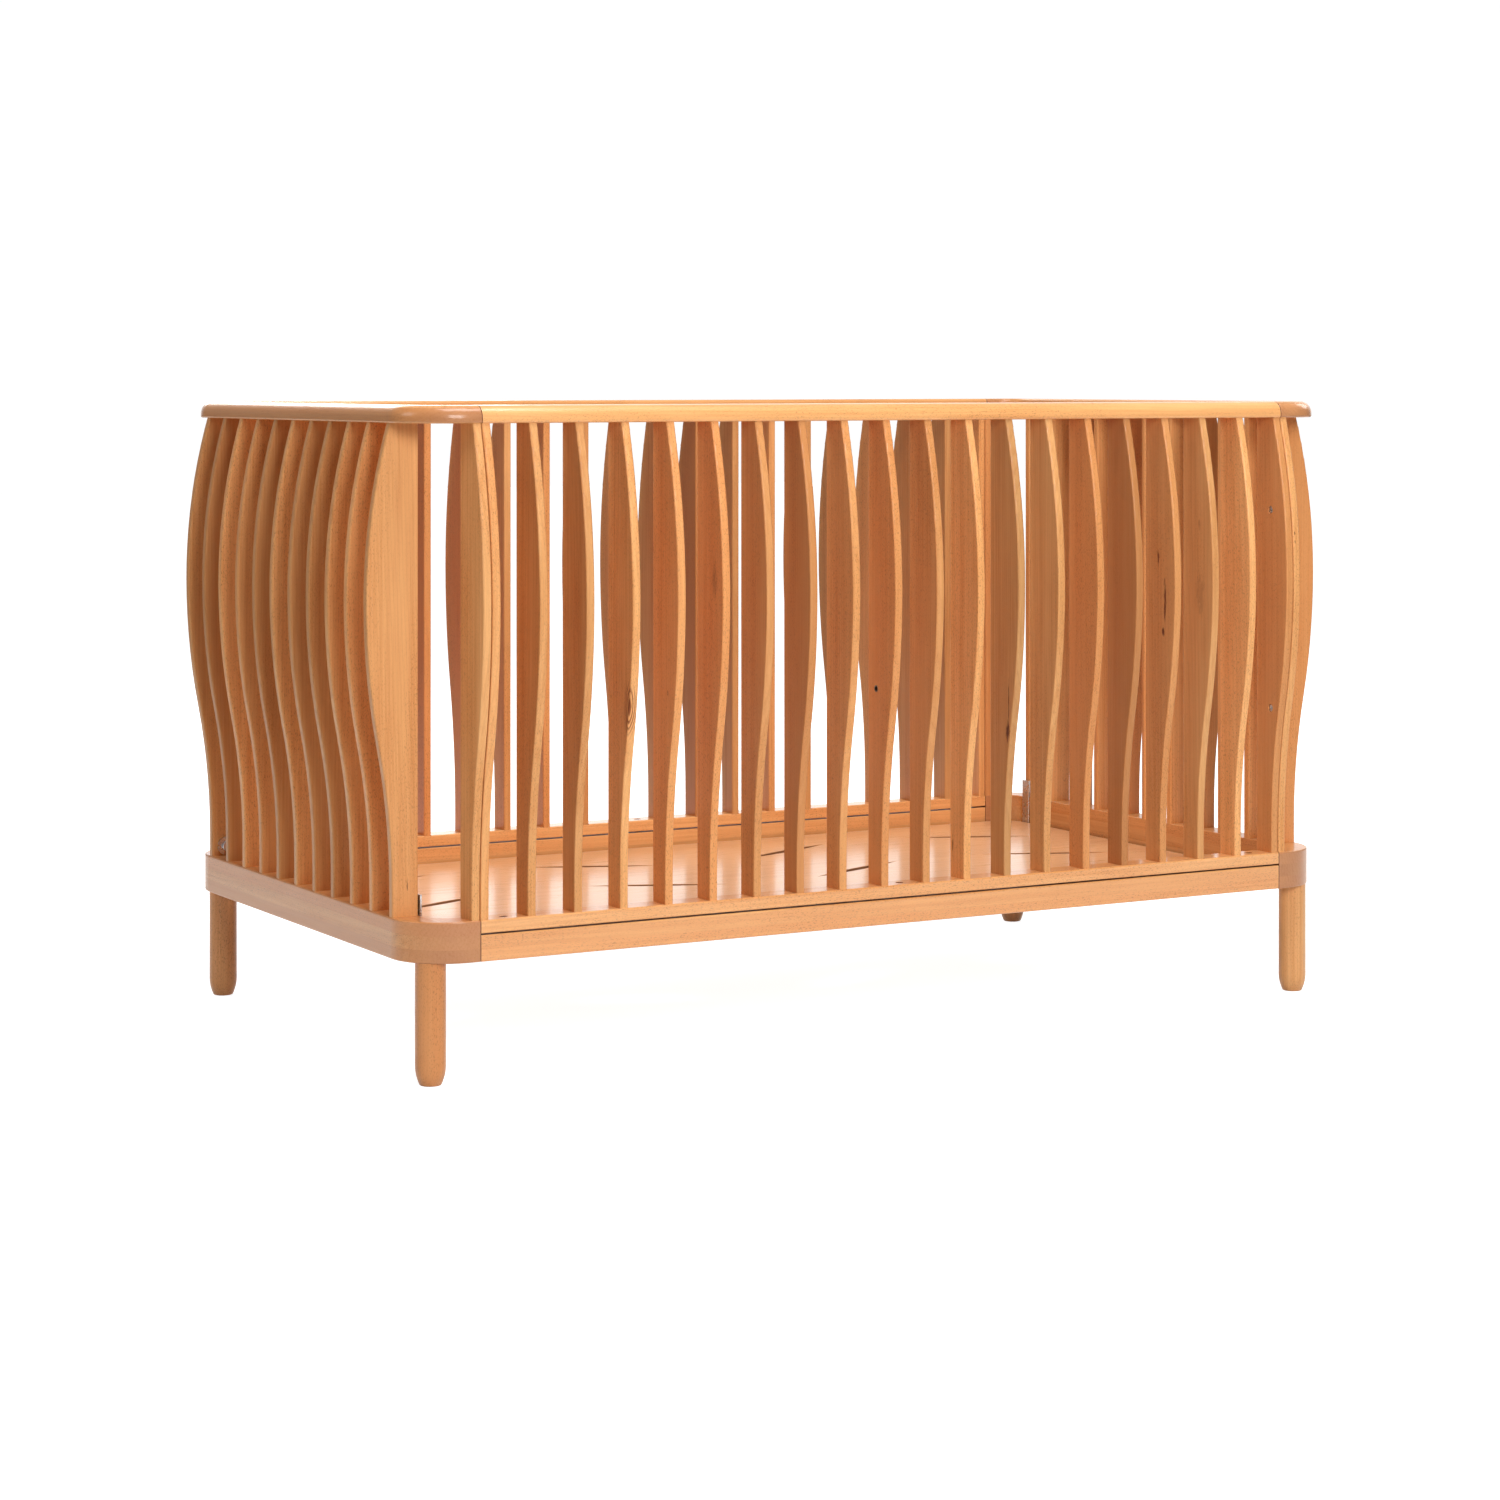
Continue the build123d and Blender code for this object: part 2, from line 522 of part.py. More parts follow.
def make_hanger():
    """The +X +Y corner's hanger: a web before the slat's inner edge, with a cheek and a foot."""
    web_inner = WEB_OUTER - STEEL
    web_side = CHEEK_INNER + HANGER_WIDTH
    cheek_face = CHEEK_INNER + STEEL
    web = block((web_inner, CHEEK_INNER, HANGER_FOOT_Z), (WEB_OUTER, web_side, HANGER_TOP))
    foot = block(
        (WEB_OUTER - HANGER_FOOT, CHEEK_INNER, HANGER_FOOT_Z), (WEB_OUTER, web_side, BOARD_BOTTOM)
    )
    cheek = block(
        (web_inner, CHEEK_INNER, HANGER_BOLT_Z - CHEEK_RADIUS), (HANGER_BOLT_X, cheek_face, HANGER_TOP)
    )
    cheek += rod(
        CHEEK_RADIUS, (HANGER_BOLT_X, CHEEK_INNER, HANGER_BOLT_Z), (HANGER_BOLT_X, cheek_face, HANGER_BOLT_Z)
    )
    hanger = web + foot + cheek
    bend = [
        e for e in hanger.edges().filter_by(Axis.Z)
        if abs(e.center().X - web_inner) < SAME and abs(e.center().Y - CHEEK_INNER) < SAME
    ]
    hanger = fillet(bend, BEND_RADIUS)
    half = CHEEK_SLOT / 2
    before, behind = CHEEK_INNER - PAST, cheek_face + PAST
    hanger -= rod(half, (HANGER_BOLT_X, before, HANGER_BOLT_Z), (HANGER_BOLT_X, behind, HANGER_BOLT_Z))
    hanger -= block(
        (HANGER_BOLT_X - half, before, HANGER_BOLT_Z - 2 * CHEEK_RADIUS),
        (HANGER_BOLT_X + half, behind, HANGER_BOLT_Z),
    )
    return hanger - [
        rod(SCREW_RADIUS + FIT, (x, y, HANGER_FOOT_Z - PAST), (x, y, BOARD_BOTTOM))
        for x, y in foot_screw_places
    ]


screw_cuts = [
    rod(SCREW_RADIUS + FIT, (x, y, BOARD_BOTTOM - PAST), (x, y, foot_screw_tip))
    for x, y in foot_screw_places
]
for x, y in batten_screw_places:
    screw_cuts += [
        rod(SCREW_RADIUS + FIT, (x, y, BATTEN_BOTTOM - PAST), (x, y, batten_screw_tip)),
        rod(SCREW_HEAD_RADIUS + FIT, (x, y, BATTEN_BOTTOM - PAST), (x, y, batten_screw_seat)),
    ]
screw_holes = [hole for cut in screw_cuts for hole in in_every_corner(cut)]
parts["mattress_board"] = make_board() - screw_holes
for side_y, side_name in SIDE_NAMES.items():
    y = side_y * BATTEN_Y
    batten = block(
        (-BATTEN_LENGTH / 2, y - BATTEN_WIDTH / 2, BATTEN_BOTTOM),
        (BATTEN_LENGTH / 2, y + BATTEN_WIDTH / 2, BOARD_BOTTOM),
    )
    batten = fillet(batten.edges().group_by(Axis.Z)[0], BASE_ROUND)
    parts[f"board_batten_{side_name}"] = batten - screw_holes

hanger = make_hanger()
for side_x, side_y in CORNERS:
    parts[f"hanger_{SIDE_NAMES[side_y]}_{END_NAMES[side_x]}"] = mirrored(hanger, side_x, side_y)


# ---- Fasteners, one node for each kind ----

def everywhere(shapes):
    return [copy for shape in shapes for copy in in_every_corner(shape)]


def insert(line):
    """A threaded insert for an M6 bolt."""
    return sleeve(INSERT_RADIUS, BOLT_RADIUS + FIT, *line)


end_bolts = []
for height in END_BOLT_HEIGHTS:
    (face_x, bolt_y, _), tip = end_bolt_line(height)
    head_face = (face_x + END_BOLT_SUNK, bolt_y, height)
    end_bolts += [socket_bolt(END_BOLT_HEAD_RADIUS, END_BOLT_HEAD_HEIGHT, head_face, tip)]
foot_screws = [wood_screw(x, y, HANGER_FOOT_Z, foot_screw_tip) for x, y in foot_screw_places]
batten_screws = [wood_screw(x, y, batten_screw_seat, batten_screw_tip) for x, y in batten_screw_places]
down_places = [(x, y) for y in (-RAIL_Y, RAIL_Y) for x in DOWN_BOLT_X]

parts["hanger_bolts"] = in_every_corner(
    socket_bolt(HEAD_RADIUS, HEAD_HEIGHT, *hanger_bolt_line(HANGER_BOLT_Z))
)
parts["height_inserts"] = everywhere([insert(hanger_insert_line(z)) for z in (HANGER_BOLT_Z, UPPER_Z)])
parts["height_inserts"] += [insert(middle_insert_line(side_y)) for side_y in SIDE_NAMES]
parts["panel_end_bolts"] = everywhere(end_bolts)
parts["corner_slat_inserts"] = everywhere([insert(corner_insert_line(z)) for z in END_BOLT_HEIGHTS])
parts["panel_down_bolts"] = [
    socket_bolt(DOWN_BOLT_HEAD_RADIUS, DOWN_BOLT_HEAD_HEIGHT, *down_bolt_line(x, y)) for x, y in down_places
]
parts["base_rail_inserts"] = [insert(down_insert_line(x, y)) for x, y in down_places]
parts["leg_studs"] = in_every_corner(rod(STUD_RADIUS, *leg_stud_line))
parts["leg_inserts"] = in_every_corner(sleeve(LEG_INSERT_RADIUS, STUD_RADIUS + FIT, *leg_insert_line))
parts["base_dowels"] = everywhere([rod(BASE_DOWEL_RADIUS, *line) for line in base_dowel_lines])
parts["top_dowels"] = everywhere([rod(TOP_DOWEL_RADIUS, *line) for line in top_dowel_lines])
parts["hanger_screws"] = everywhere(foot_screws)
parts["batten_screws"] = everywhere(batten_screws)

# ---- Write one file per node ----

os.makedirs("parts", exist_ok=True)
for name, shape in parts.items():
    items = shape if isinstance(shape, list) else [shape]
    solids = [solid for item in items for solid in item.solids()]
    node = Compound(children=solids) if len(solids) > 1 else solids[0]
    export_step(node, f"parts/{name}.step")
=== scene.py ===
"""A beech baby crib in a white studio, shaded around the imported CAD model.

All lengths are metres, in the crib's own frame: the origin is on the floor under its middle,
+X runs along it, +Y to its back and +Z up.
"""

import json
import math

import bpy
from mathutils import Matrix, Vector


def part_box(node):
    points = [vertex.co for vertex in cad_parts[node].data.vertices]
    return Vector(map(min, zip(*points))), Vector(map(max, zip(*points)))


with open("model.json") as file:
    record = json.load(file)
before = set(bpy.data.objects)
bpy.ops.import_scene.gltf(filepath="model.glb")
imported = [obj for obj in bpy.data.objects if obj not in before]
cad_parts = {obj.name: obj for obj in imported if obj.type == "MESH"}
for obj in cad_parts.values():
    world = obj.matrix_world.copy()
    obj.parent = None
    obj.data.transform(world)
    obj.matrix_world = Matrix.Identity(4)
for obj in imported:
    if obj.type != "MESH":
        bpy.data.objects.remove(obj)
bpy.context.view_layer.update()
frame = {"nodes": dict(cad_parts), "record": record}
NODES = frame["nodes"]
SLOT_OF = {part["node"]: part["material_slot"] for part in frame["record"]["subparts"]}


# ---- Places read from the frame ----

def middle(node):
    low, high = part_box(node)
    return (low + high) / 2


SIDE_SLATS = 20
END_SLATS = 11
SIDE_PITCH = (middle("front_slat_20").x - middle("front_slat_01").x) / (SIDE_SLATS - 1)
SLAT_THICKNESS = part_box("front_slat_01")[1].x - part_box("front_slat_01")[0].x
END_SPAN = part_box("right_end_slats")[1].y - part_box("right_end_slats")[0].y
END_PITCH = (END_SPAN - SLAT_THICKNESS) / (END_SLATS - 1)
JOINT_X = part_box("base_rail_front")[1].x
SIDE_SLATS_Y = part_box("front_slat_01")[1].y         # the inner line of the front slats
BASE_RAIL_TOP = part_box("base_rail_front")[1].z
PANEL_RAIL_LOW, PANEL_RAIL_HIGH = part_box("panel_bottom_rail_front")
TOP_RAIL_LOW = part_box("panel_top_rail_front")[0].z
GAP_MIDDLE = (BASE_RAIL_TOP + PANEL_RAIL_LOW.z) / 2     # the shadow gap over the long base rails
GAP_HALF = (PANEL_RAIL_LOW.z - BASE_RAIL_TOP) / 2
DOWN_BOLT_HEAD = 0.005                              # radius of the head
RECESS_RADIUS = 0.0054
DOWN_BOLT_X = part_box("panel_down_bolts")[1].x - DOWN_BOLT_HEAD
DOWN_BOLT_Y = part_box("panel_down_bolts")[1].y - DOWN_BOLT_HEAD


# ---- Shader graph helper ----

class Graph:
    """Adds nodes to one shader tree. Its methods return the output socket of what they add."""

    def __init__(self, tree):
        self.tree = tree
        tree.nodes.clear()

    def add(self, kind, inputs=None, **settings):
        node = self.tree.nodes.new("ShaderNode" + kind)
        for name, value in settings.items():
            setattr(node, name, value)
        for key, value in (inputs or {}).items():
            if isinstance(value, bpy.types.NodeSocket):
                self.tree.links.new(value, node.inputs[key])
            else:
                node.inputs[key].default_value = value
        return node

    def maths(self, operation, *values):
        return self.add("Math", dict(enumerate(values)), operation=operation).outputs[0]

    def sum(self, *values):
        total = values[0]
        for value in values[1:]:
            total = self.maths("ADD", total, value)
        return total

    def split(self, vector):
        return self.add("SeparateXYZ", {0: vector}).outputs[:3]

    def join(self, x=0.0, y=0.0, z=0.0):
        return self.add("CombineXYZ", {0: x, 1: y, 2: z}).outputs[0]

    def scaled(self, vector, factors):
        return self.add("VectorMath", {0: vector, 1: factors}, operation="MULTIPLY").outputs[0]

    def moved(self, vector, offset):
        return self.add("VectorMath", {0: vector, 1: offset}, operation="ADD").outputs[0]

    def turned(self, vector, angle):
        inputs = {"Vector": vector, "Angle": angle}
        return self.add("VectorRotate", inputs, rotation_type="Z_AXIS").outputs[0]

    def length(self, vector):
        return self.add("VectorMath", {0: vector}, operation="LENGTH").outputs["Value"]

    def noise(self, vector, scale=1.0, detail=2.0, roughness=0.5):
        inputs = {"Vector": vector, "Scale": scale, "Detail": detail, "Roughness": roughness}
        return self.add("TexNoise", inputs).outputs["Fac"]

    def hashed(self, vector):
        return self.add("TexWhiteNoise", {"Vector": vector}, noise_dimensions="3D").outputs

    def remap(self, value, low, high, new_low=0.0, new_high=1.0, smooth=True):
        inputs = {
            "Value": value, "From Min": low, "From Max": high, "To Min": new_low, "To Max": new_high,
        }
        kind = "SMOOTHSTEP" if smooth else "LINEAR"
        return self.add("MapRange", inputs, interpolation_type=kind).outputs[0]

    def mix(self, factor, a, b, blend="MIX"):
        node = self.add("Mix", data_type="RGBA", blend_type=blend)
        for key, value in ((0, factor), (6, a), (7, b)):
            if isinstance(value, bpy.types.NodeSocket):
                self.tree.links.new(value, node.inputs[key])
            else:
                node.inputs[key].default_value = value
        return node.outputs[2]


def new_material(name):
    material = bpy.data.materials.new(name)
    material.use_nodes = True
    return material, Graph(material.node_tree)


# ---- Beech ----

LIGHT_BEECH = (0.85, 0.450, 0.180, 1.0)
DARK_BEECH = (0.65, 0.262, 0.080, 1.0)
RED_BEECH = (0.62, 0.225, 0.070, 1.0)
RING_BEECH = (0.40, 0.135, 0.038, 1.0)
FLECK_BEECH = (0.13, 0.030, 0.009, 1.0)
KNOT_BEECH = (0.24, 0.062, 0.018, 1.0)
END_GRAIN = (0.52, 0.225, 0.100, 1.0)
PALE_BEECH = (0.88, 0.56, 0.33, 1.0)

RING_WIDTH = 0.0046
FLECK_STRENGTH = 0.35
END_CUT = 0.9               # how much of the end grain's colour shows where the cut is square
GLUED_STRIP = 0.0167        # height of the strips that the base rails are glued up from
PAINTED_SHADE_BROWN = (0.120, 0.030, 0.010, 1.0)    # painted shade deep in joints, gaps, bolt recesses and slots
JOINT_SHADE = 0.05          # what is left of the surface colour there
CORNER_SLAT_NUMBER = 50.0   # added to the corner slats' numbers
FIRST_END_NUMBER = 200.0    # added to the end slats' numbers
GRAIN_ANGLE = 0.61          # turns the fine grain off the faces, so that it makes no pattern with them
RING_WAVER = 0.026          # how far the rings wander
RING_TILT = 0.04            # how far the pith leans from the grain, as a slope
PITH_ASIDE = 0.09           # the pith stands this far to either side at most
PITH_NEAREST = 0.03
PITH_FARTHEST = 0.11
KNOT_PULL = 0.013           # how far a knot pushes the rings aside
PORE_DEPTH = 0.00012
LACQUER_RIPPLE = 0.0003
SLOT_SHADE = 0.25           # what is left of the surface colour under the painted shade inside the board's slots
# The axes across, across and along the grain, by the grain's direction.
GRAIN_TURN = {"x": (1, 2, 0), "y": (2, 0, 1), "z": (0, 1, 2)}
# Noise per metre across, across and along the grain.
SLOW_NOISE = (13.0, 13.0, 1.5)
CLOUD_NOISE = (22.0, 22.0, 3.2)
STREAK_NOISE = (210.0, 210.0, 2.2)
FIBRE_NOISE = (900.0, 900.0, 14.0)
DASH_NOISE = (900.0, 900.0, 330.0)
OPEN_END_NOISE = (300.0, 420.0, 300.0)
RAGGED_NOISE = (520.0, 520.0, 90.0)


def slat_number(g, point):
    """A vector that is the same all over one slat and differs between slats."""
    x, y, z = g.split(point)
    on_side = g.maths("GREATER_THAN", g.maths("ABSOLUTE", y), -SIDE_SLATS_Y - 0.01)
    at_corner = g.maths("GREATER_THAN", g.maths("ABSOLUTE", x), JOINT_X)
    corner_part = g.maths("MULTIPLY", at_corner, CORNER_SLAT_NUMBER)
    along_side = g.sum(g.maths("FLOOR", g.maths("DIVIDE", x, SIDE_PITCH)), corner_part)
    along_end = g.sum(g.maths("FLOOR", g.sum(g.maths("DIVIDE", y, END_PITCH), 0.5)), FIRST_END_NUMBER)
    side_part = g.maths("MULTIPLY", on_side, along_side)
    end_part = g.maths("MULTIPLY", g.maths("SUBTRACT", 1.0, on_side), along_end)
    which_side = g.maths("MULTIPLY", on_side, g.maths("SIGN", y))
    return g.join(g.sum(side_part, end_part), g.maths("SIGN", x), which_side)


def leg_number(g, point):
    x, y, z = g.split(point)
    return g.join(g.maths("SIGN", x), g.maths("SIGN", y), 7.0)


def rail_number(g, point):
    """Differs by side and by level, and by glued strip within the base rails."""
    x, y, z = g.split(point)
    wander = g.maths("MULTIPLY", g.noise(g.join(g.maths("MULTIPLY", x, 1.3), y, 0.0)), 0.008)
    strip = g.maths("FLOOR", g.maths("DIVIDE", g.sum(z, wander), GLUED_STRIP))
    over_gap = g.maths("GREATER_THAN", z, GAP_MIDDLE)
    at_top = g.maths("GREATER_THAN", z, TOP_RAIL_LOW - 0.01)
    in_base = g.maths("SUBTRACT", 1.0, over_gap)
    return g.join(g.maths("SIGN", y), g.sum(over_gap, at_top), g.maths("MULTIPLY", strip, in_base))


def end_piece_number(g, point):
    """Differs by end and by glued strip."""
    x, y, z = g.split(point)
    wander = g.maths("MULTIPLY", g.noise(g.join(x, g.maths("MULTIPLY", y, 2.0), 0.0)), 0.003)
    strip = g.maths("FLOOR", g.maths("DIVIDE", g.sum(z, wander), GLUED_STRIP))
    return g.join(g.maths("SIGN", x), strip, 3.0)


def one_number(g, point):
    return g.join(1.0, 2.0, 3.0)


def butt_shade(g, point):
    """Painted shade inside the butt joints between the long rails and the end pieces."""
    x, y, z = g.split(point)
    from_joint = g.maths("ABSOLUTE", g.sum(g.maths("ABSOLUTE", x), -JOINT_X))
    return g.remap(from_joint, 0.0002, 0.0009, JOINT_SHADE, 1.0)


def rail_shade(g, point):
    """Painted shade inside the rails' joints, in the long gap over the base rails and in the bolt
    recesses.
    """
    x, y, z = g.split(point)
    from_gap = g.maths("ABSOLUTE", g.sum(z, -GAP_MIDDLE))
    long_gap = g.remap(from_gap, GAP_HALF - 0.0001, GAP_HALF + 0.0006, JOINT_SHADE, 1.0)
    across = g.maths("ABSOLUTE", g.sum(g.maths("ABSOLUTE", y), -DOWN_BOLT_Y))
    far_x = g.maths("ABSOLUTE", x)
    beside = g.maths("MINIMUM", far_x, g.maths("ABSOLUTE", g.sum(far_x, -DOWN_BOLT_X)))
    from_bolt = g.length(g.join(beside, across, 0.0))
    in_recess = g.maths("MULTIPLY", g.maths("LESS_THAN", from_bolt, RECESS_RADIUS + 0.0003),
                        g.maths("LESS_THAN", z, PANEL_RAIL_HIGH.z - 0.0004))
    recess = g.remap(in_recess, 0.0, 1.0, 1.0, JOINT_SHADE)
    return g.maths("MINIMUM", g.maths("MINIMUM", long_gap, recess), butt_shade(g, point))


def slot_shade(g, point):
    """Painted shade on the walls of the board's slots: full colour only near its two faces."""
    x, y, z = g.split(point)
    board_low, board_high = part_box("mattress_board")
    under_top = g.remap(z, board_high.z - 0.0012, board_high.z - 0.0002, SLOT_SHADE, 1.0)
    over_bottom = g.remap(z, board_low.z + 0.0002, board_low.z + 0.0012, 1.0, SLOT_SHADE)
    return g.maths("MAXIMUM", under_top, over_bottom)


def make_beech(name, grain, number, tone=1.0, spread=0.10, rings=0.18, gloss=0.38, coat=0.25, pale=0.0,
               shade=None, marks=(), knots=(), flecked=()):
    """Satin-lacquered beech: a solid texture of rings, streaks, fibres, ray flecks, knots and end grain.

    marks are dark stains and knots swirl the grain: each is a place, a half width and a half length.
    flecked are places where the ray flecks are strong.
    """
    material, g = new_material(name)
    coordinates = g.add("TexCoord").outputs
    point = coordinates["Object"]
    value, colour_code = g.hashed(number(g, point))
    pith_x, pith_y, lean = g.split(colour_code)
    axes = g.split(point)
    across_x, across_y, along = [axes[k] for k in GRAIN_TURN[grain]]
    own = g.moved(g.join(across_x, across_y, along), g.scaled(colour_code, (3.0, 3.0, 3.0)))

    def near(place, half_width, half_length):
        """Distance from a place, 1 at the edge of a long spot along the grain."""
        stretch = [1 / half_width] * 3
        stretch[GRAIN_TURN[grain][2]] = 1 / half_length
        offset = g.scaled(g.moved(point, tuple(-c for c in place)), tuple(stretch))
        return g.length(offset)

    # Growth rings: the distance from a wavering pith line that stands off the piece.
    slow = g.noise(g.scaled(own, SLOW_NOISE), detail=3.0, roughness=0.5)
    waver = g.maths("MULTIPLY", g.sum(slow, -0.5), RING_WAVER)
    slope = g.remap(lean, 0.0, 1.0, -RING_TILT, RING_TILT, smooth=False)
    tilt = g.maths("MULTIPLY", along, slope)
    aside = g.remap(pith_x, 0.0, 1.0, -PITH_ASIDE, PITH_ASIDE, smooth=False)
    pith_u = g.sum(across_x, aside, tilt)
    pith_v = g.sum(across_y, g.remap(pith_y, 0.0, 1.0, PITH_NEAREST, PITH_FARTHEST, smooth=False))
    square = g.sum(g.maths("MULTIPLY", pith_u, pith_u), g.maths("MULTIPLY", pith_v, pith_v))
    radius = g.maths("SQRT", square)
    radius = g.sum(radius, waver)
    knotty = 0.0
    for place, half_width, half_length in knots:
        from_knot = near(place, half_width, half_length)
        radius = g.sum(radius, g.remap(from_knot, 0.0, 2.2, KNOT_PULL, 0.0))
        knotty = g.maths("MAXIMUM", knotty, g.remap(from_knot, 0.8, 1.9, 0.9, 0.0))
    turn = g.maths("FRACT", g.maths("MULTIPLY", radius, 1 / RING_WIDTH))
    late_wood = g.maths("POWER", turn, 4.0)
    early_wood = g.remap(turn, 0.0, 0.15, 0.35, 0.0)
    ring = g.maths("MAXIMUM", late_wood, early_wood)

    # Streaks a few millimetres wide and fibres finer than one, both drawn out along the grain.
    turned = g.turned(own, GRAIN_ANGLE)
    streak = g.noise(g.scaled(turned, STREAK_NOISE), detail=2.0, roughness=0.55)
    fibre = g.noise(g.scaled(turned, FIBRE_NOISE), detail=2.0, roughness=0.6)
    cloud = g.noise(g.scaled(own, CLOUD_NOISE), detail=3.0, roughness=0.55)

    # Ray flecks: fine dark dashes, a millimetre or two long, strong only in places.
    dash = g.remap(g.noise(g.scaled(turned, DASH_NOISE), detail=1.0), 0.56, 0.68)
    zone = g.remap(g.sum(cloud, g.maths("MULTIPLY", value, 0.30)), 0.50, 0.85, 0.15, 1.0)
    for place, half_width, half_length in flecked:
        inside = g.remap(near(place, half_width, half_length), 0.7, 1.0, 1.1, 0.0)
        zone = g.maths("MAXIMUM", zone, inside)
    fleck = g.maths("MULTIPLY", g.maths("MULTIPLY", dash, zone), FLECK_STRENGTH)

    blend = g.sum(g.maths("MULTIPLY", cloud, 0.70), g.maths("MULTIPLY", streak, 0.65),
                  g.maths("MULTIPLY", fibre, 0.45), -0.48)
    base = g.mix(g.remap(blend, 0.0, 0.9), LIGHT_BEECH, DARK_BEECH)
    if pale:
        base = g.mix(pale, base, PALE_BEECH)
    base = g.mix(g.maths("MULTIPLY", ring, rings), base, RING_BEECH)
    base = g.mix(g.maths("MULTIPLY", g.remap(pith_y, 0.35, 1.0), 0.60), base, RED_BEECH)
    base = g.mix(fleck, base, FLECK_BEECH)
    if knots:
        stroke = g.maths("MULTIPLY", g.remap(turn, 0.35, 0.75), knotty)
        base = g.mix(stroke, base, KNOT_BEECH)

    # End grain, where the surface cuts across the fibres: darker, speckled by their open ends.
    facing = g.split(coordinates["Normal"])[GRAIN_TURN[grain][2]]
    cut = g.remap(g.maths("ABSOLUTE", facing), 0.15, 1.0, 0.0, END_CUT)
    open_ends = g.noise(g.scaled(turned, OPEN_END_NOISE), detail=2.0, roughness=0.6)
    speckle = g.remap(open_ends, 0.45, 0.72)
    cut_colour = g.mix(g.maths("MULTIPLY", speckle, 0.35), END_GRAIN, RING_BEECH)
    cut_colour = g.mix(g.maths("MULTIPLY", ring, 0.20), cut_colour, RING_BEECH)
    cut_colour = g.mix(g.remap(cloud, 0.40, 0.70, 0.0, 0.14), cut_colour, LIGHT_BEECH)
    base = g.mix(cut, base, cut_colour)

    # Stains, with ragged edges.
    torn = g.noise(g.scaled(own, RAGGED_NOISE), detail=3.0)
    ragged = g.maths("MULTIPLY", g.sum(torn, -0.5), 2.4)
    for place, half_width, half_length, strength in marks:
        spot = g.remap(g.sum(near(place, half_width, half_length), ragged), 0.35, 1.1, strength, 0.0)
        base = g.mix(spot, base, FLECK_BEECH)

    gain = g.remap(value, 0.0, 1.0, tone * (1 - spread), tone * (1 + spread), smooth=False)
    base = g.scaled(base, gain)
    # Painted shade: where shade falls in joints, gaps, recesses and slots, the colour goes towards a
    # dark brown.
    if shade:
        base = g.mix(shade(g, point), PAINTED_SHADE_BROWN, base)

    sheen_map = g.sum(g.maths("MULTIPLY", fibre, 0.6), g.maths("MULTIPLY", streak, 0.4))
    roughness = g.remap(sheen_map, 0.25, 0.75, gloss - 0.05, gloss + 0.08)
    pores = g.sum(g.maths("MULTIPLY", fibre, 0.6), g.maths("MULTIPLY", ring, -0.25),
                  g.maths("MULTIPLY", fleck, -0.6))
    pores = g.maths("MULTIPLY", pores, g.maths("SUBTRACT", 1.0, cut))
    bump = g.add("Bump", {"Height": pores, "Strength": 0.25, "Distance": PORE_DEPTH}).outputs[0]
    lacquer = g.noise(g.scaled(point, (150.0, 150.0, 150.0)), detail=1.0)
    ripple = {"Height": lacquer, "Strength": 0.12, "Distance": LACQUER_RIPPLE}
    coat_bump = g.add("Bump", ripple).outputs[0]
    shader = g.add("BsdfPrincipled", {
        "Base Color": base, "Roughness": roughness, "Specular IOR Level": 0.2, "Normal": bump,
        "Coat Weight": coat, "Coat Roughness": 0.15, "Coat IOR": 1.5, "Coat Normal": coat_bump,
    })
    g.add("OutputMaterial", {"Surface": shader.outputs[0]})
    return material


# ---- Steel ----

def make_steel(name, colour, roughness, brushed_along):
    """Plated steel with fine drawn lines, cloudy plating and small pits."""
    material, g = new_material(name)
    point = g.add("TexCoord").outputs["Object"]
    stretch = [5200.0] * 3
    stretch["xyz".index(brushed_along)] = 140.0
    lines = g.noise(g.scaled(point, tuple(stretch)), detail=3.0, roughness=0.6)
    cloud = g.noise(g.scaled(point, (260.0, 260.0, 260.0)), detail=3.0)
    pits = g.remap(g.noise(g.scaled(point, (2600.0, 2600.0, 2600.0)), detail=1.0), 0.66, 0.74)
    darker = tuple(c * 0.62 for c in colour[:3]) + (1.0,)
    wear = g.sum(g.maths("MULTIPLY", lines, 0.6), g.maths("MULTIPLY", cloud, 0.5))
    tone = g.mix(g.remap(wear, 0.35, 0.8), colour, darker)
    tone = g.mix(g.maths("MULTIPLY", pits, 0.5), tone, darker)
    rough = g.remap(cloud, 0.3, 0.7, roughness - 0.06, roughness + 0.10)
    bump = g.add("Bump", {"Height": lines, "Strength": 0.2, "Distance": 0.00004}).outputs[0]
    shader = g.add("BsdfPrincipled", {
        "Base Color": tone, "Metallic": 1.0, "Roughness": rough, "Normal": bump,
    })
    g.add("OutputMaterial", {"Surface": shader.outputs[0]})
    return material


# ---- Materials of the record's slots ----

def on_left_face(node, out, height):
    """A place on a front slat's left face: out from its inner edge, and its height."""
    low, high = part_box(node)
    return (low.x, high.y - out, height)


# Each is a place, a half width and a half length.
KNOTS = [
    (on_left_face("front_slat_04", 0.056, 0.446), 0.0085, 0.022),
    (on_left_face("front_slat_05", 0.040, 0.462), 0.0016, 0.0025),
]

LEFT_END_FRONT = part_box("left_end_slats")[0]
RIGHT_CORNER_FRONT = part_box("corner_slat_front_right")[0]

